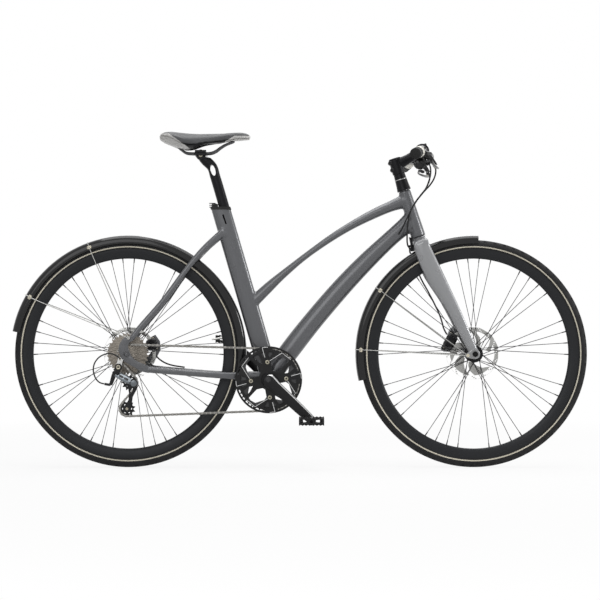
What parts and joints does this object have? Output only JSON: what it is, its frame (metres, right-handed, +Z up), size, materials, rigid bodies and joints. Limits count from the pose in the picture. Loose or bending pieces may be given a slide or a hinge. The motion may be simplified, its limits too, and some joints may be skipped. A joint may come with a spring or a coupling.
{
  "type": "step-through bicycle",
  "caption": "Step-through trekking bicycle with swept top tube, disc brakes, derailleur drive, wire-stayed mudguards and adjustable saddle",
  "frame": {"origin": "on the ground, midway along the bicycle and on its centre plane", "axes": "+X forwards, +Y to the rider's left, +Z up; the drive side faces -Y"},
  "size_m": [1.7335, 0.608, 1.0116],
  "materials": {
    "tyre": "matt, with a pale reflective stripe on each sidewall",
    "rim": "satin black anodised",
    "hub": "black hub with black steel spokes",
    "rotor": "ground stainless steel",
    "axle": "black steel",
    "sprockets": "nickel plated",
    "chain": "oiled steel",
    "chainring": "dark steel",
    "guard": "black with silver edges",
    "crank": "black, with a bare chamfer along the top edge",
    "pedal": "matt black",
    "black_alloy": "satin black anodised",
    "frame_paint": "satin metallic grey",
    "fork_paint": "satin metallic silver grey",
    "saddle_rails": "black steel",
    "saddle_shell": "pearl silver and black",
    "saddle_cover": "matt dark grey synthetic leather",
    "grip": "soft matt rubber",
    "lever": "satin black",
    "shifter": "matt black",
    "silver_alloy": "satin silver",
    "derailleur": "satin black",
    "pulley": "matt black nylon",
    "mudguard": "gloss black",
    "stay_wire": "bright stainless wire with pale clips",
    "caliper": "satin black",
    "hose": "black outer casing"
  },
  "bodies": {
    "frame": {"frame": "frame_paint", "seat_collar": "black_alloy", "bottom_bracket": "black_alloy", "derailleur_hanger": "silver_alloy", "rear_axle": "axle", "rear_mudguard": "mudguard", "rear_mudguard_stays": "stay_wire", "rear_caliper": "caliper", "chain": "chain", "rear_brake_hose_front": "hose", "shift_cable_front": "hose", "rear_brake_hose_rear": "hose", "shift_cable_rear": "hose"},
    "seatpost": {"seatpost": "black_alloy"},
    "saddle_clamp": {"saddle_clamp_lower": "black_alloy", "saddle_clamp_upper": "black_alloy"},
    "saddle": {"saddle_rails": "saddle_rails", "saddle_shell": "saddle_shell", "saddle_cushion": "saddle_cover"},
    "steering": {"fork": "fork_paint", "headset_cone": "black_alloy", "stem": "black_alloy", "stem_faceplate": "black_alloy", "handlebar": "black_alloy", "right_grip": "grip", "left_grip": "grip", "right_brake_perch": "lever", "left_brake_perch": "lever", "shifter": "shifter", "front_mudguard": "mudguard", "front_mudguard_stays": "stay_wire", "front_caliper": "caliper", "front_brake_hose": "hose", "front_axle": "axle"},
    "right_lever": {"right_brake_blade": "lever"},
    "left_lever": {"left_brake_blade": "lever"},
    "thumb_lever": {"shifter_thumb_lever": "shifter"},
    "release_trigger": {"shifter_release_trigger": "shifter"},
    "front_wheel": {"front_tyre": "tyre", "front_rim": "rim", "front_hub_and_spokes": "hub", "front_rotor": "rotor"},
    "rear_wheel": {"rear_tyre": "tyre", "rear_rim": "rim", "rear_hub_and_spokes": "hub", "rear_rotor": "rotor"},
    "cassette": {"cassette": "sprockets"},
    "crank": {"right_crank": "crank", "left_crank": "crank", "chainring": "chainring", "chain_guard": "guard"},
    "right_pedal": {"right_pedal": "pedal"},
    "left_pedal": {"left_pedal": "pedal"},
    "derailleur_knuckle": {"derailleur_knuckle": "derailleur"},
    "outer_link": {"derailleur_outer_link": "silver_alloy"},
    "inner_link": {"derailleur_inner_link": "derailleur"},
    "lower_knuckle": {"derailleur_lower_knuckle": "derailleur"},
    "cage": {"derailleur_cage": "derailleur"},
    "guide_pulley": {"guide_pulley": "pulley"},
    "tension_pulley": {"tension_pulley": "pulley"}
  },
  "joints": [
    {"name": "seatpost_slide", "type": "slide", "parent": "frame", "child": "seatpost", "axis": [-0.279, 0, 0.9603], "range_m": [-0.06, 0.08]},
    {"name": "saddle_tilt", "type": "hinge", "parent": "seatpost", "child": "saddle_clamp", "pos_m": [-0.29944, 0, 0.94226], "axis": [0, 1, 0], "range_deg": [-10, 10]},
    {"name": "saddle_slide", "type": "slide", "parent": "saddle_clamp", "child": "saddle", "axis": [1, 0, 0], "range_m": [-0.01, 0.012]},
    {"name": "steer", "type": "hinge", "parent": "frame", "child": "steering", "pos_m": [0.31507, 0, 0.835], "axis": [-0.294, 0, 0.9558], "range_deg": [-60, 60], "deforming": ["front_brake_hose", "rear_brake_hose_front", "shift_cable_front"]},
    {"name": "right_brake_lever", "type": "hinge", "parent": "steering", "child": "right_lever", "pos_m": [0.39733, -0.162, 0.89665], "axis": [-0.5026, 0, -0.8645], "range_deg": [0, 10], "stiffness_Nm_per_rad": 1.5, "springref_deg": -14.32},
    {"name": "left_brake_lever", "type": "hinge", "parent": "steering", "child": "left_lever", "pos_m": [0.39733, 0.162, 0.89665], "axis": [0.5026, 0, 0.8645], "range_deg": [0, 10], "stiffness_Nm_per_rad": 1.5, "springref_deg": -14.32},
    {"name": "thumb_lever_push", "type": "hinge", "parent": "steering", "child": "thumb_lever", "pos_m": [0.35533, -0.124, 0.884], "axis": [0, 0, 1], "range_deg": [0, 30], "stiffness_Nm_per_rad": 0.3, "springref_deg": -17.19},
    {"name": "release_trigger_pull", "type": "hinge", "parent": "steering", "child": "release_trigger", "pos_m": [0.3801, -0.137, 0.9076], "axis": [0, 0, -1], "range_deg": [0, 12], "stiffness_Nm_per_rad": 0.3, "springref_deg": -17.19},
    {"name": "front_wheel_spin", "type": "hinge", "parent": "steering", "child": "front_wheel", "pos_m": [0.524, 0, 0.343], "axis": [0, 1, 0], "continuous": true},
    {"name": "rear_wheel_spin", "type": "hinge", "parent": "frame", "child": "rear_wheel", "pos_m": [-0.518, 0, 0.343], "axis": [0, 1, 0], "continuous": true},
    {"name": "crank_spin", "type": "hinge", "parent": "frame", "child": "crank", "pos_m": [-0.09393, 0, 0.266], "axis": [0, 1, 0], "continuous": true, "deforming": ["chain"]},
    {"name": "cassette_spin", "type": "hinge", "parent": "frame", "child": "cassette", "pos_m": [-0.518, 0, 0.343], "axis": [0, 1, 0], "continuous": true},
    {"name": "right_pedal_spin", "type": "hinge", "parent": "crank", "child": "right_pedal", "pos_m": [0.03405, -0.122, 0.14665], "axis": [0, 1, 0], "continuous": true},
    {"name": "left_pedal_spin", "type": "hinge", "parent": "crank", "child": "left_pedal", "pos_m": [-0.22192, 0.122, 0.38535], "axis": [0, 1, 0], "continuous": true},
    {"name": "derailleur_pull_back", "type": "hinge", "parent": "frame", "child": "derailleur_knuckle", "pos_m": [-0.541, -0.08, 0.305], "axis": [0, 1, 0], "range_deg": [0, 25], "stiffness_Nm_per_rad": 2, "springref_deg": -17.19, "deforming": ["shift_cable_rear"]},
    {"name": "derailleur_shift", "type": "hinge", "parent": "derailleur_knuckle", "child": "outer_link", "pos_m": [-0.548, -0.0855, 0.284], "axis": [0.356, 0.6205, 0.6988], "range_deg": [-12, 44]},
    {"name": "inner_link_follow", "type": "hinge", "parent": "derailleur_knuckle", "child": "inner_link", "pos_m": [-0.548, -0.076, 0.284], "axis": [0.356, 0.6205, 0.6988], "range_deg": [-12, 44]},
    {"name": "lower_knuckle_follow", "type": "hinge", "parent": "outer_link", "child": "lower_knuckle", "pos_m": [-0.50302, -0.0855, 0.26109], "axis": [0.356, 0.6205, 0.6988], "range_deg": [-44, 12]},
    {"name": "cage_swing", "type": "hinge", "parent": "lower_knuckle", "child": "cage", "pos_m": [-0.495, -0.058, 0.257], "axis": [0, 1, 0], "range_deg": [-25, 25], "stiffness_Nm_per_rad": 1.5},
    {"name": "guide_pulley_spin", "type": "hinge", "parent": "cage", "child": "guide_pulley", "pos_m": [-0.50956, -0.05415, 0.25802], "axis": [0, 1, 0], "continuous": true},
    {"name": "tension_pulley_spin", "type": "hinge", "parent": "cage", "child": "tension_pulley", "pos_m": [-0.51779, -0.05415, 0.17941], "axis": [0, 1, 0], "continuous": true}
  ],
  "couplings": [
    {"joint": "cassette_spin", "follows": "crank_spin", "ratio": 3.2857},
    {"joint": "tension_pulley_spin", "follows": "crank_spin", "ratio": 4.1818},
    {"joint": "guide_pulley_spin", "follows": "crank_spin", "ratio": -4.1818},
    {"joint": "inner_link_follow", "follows": "derailleur_shift", "ratio": 1},
    {"joint": "lower_knuckle_follow", "follows": "derailleur_shift", "ratio": -1}
  ]
}
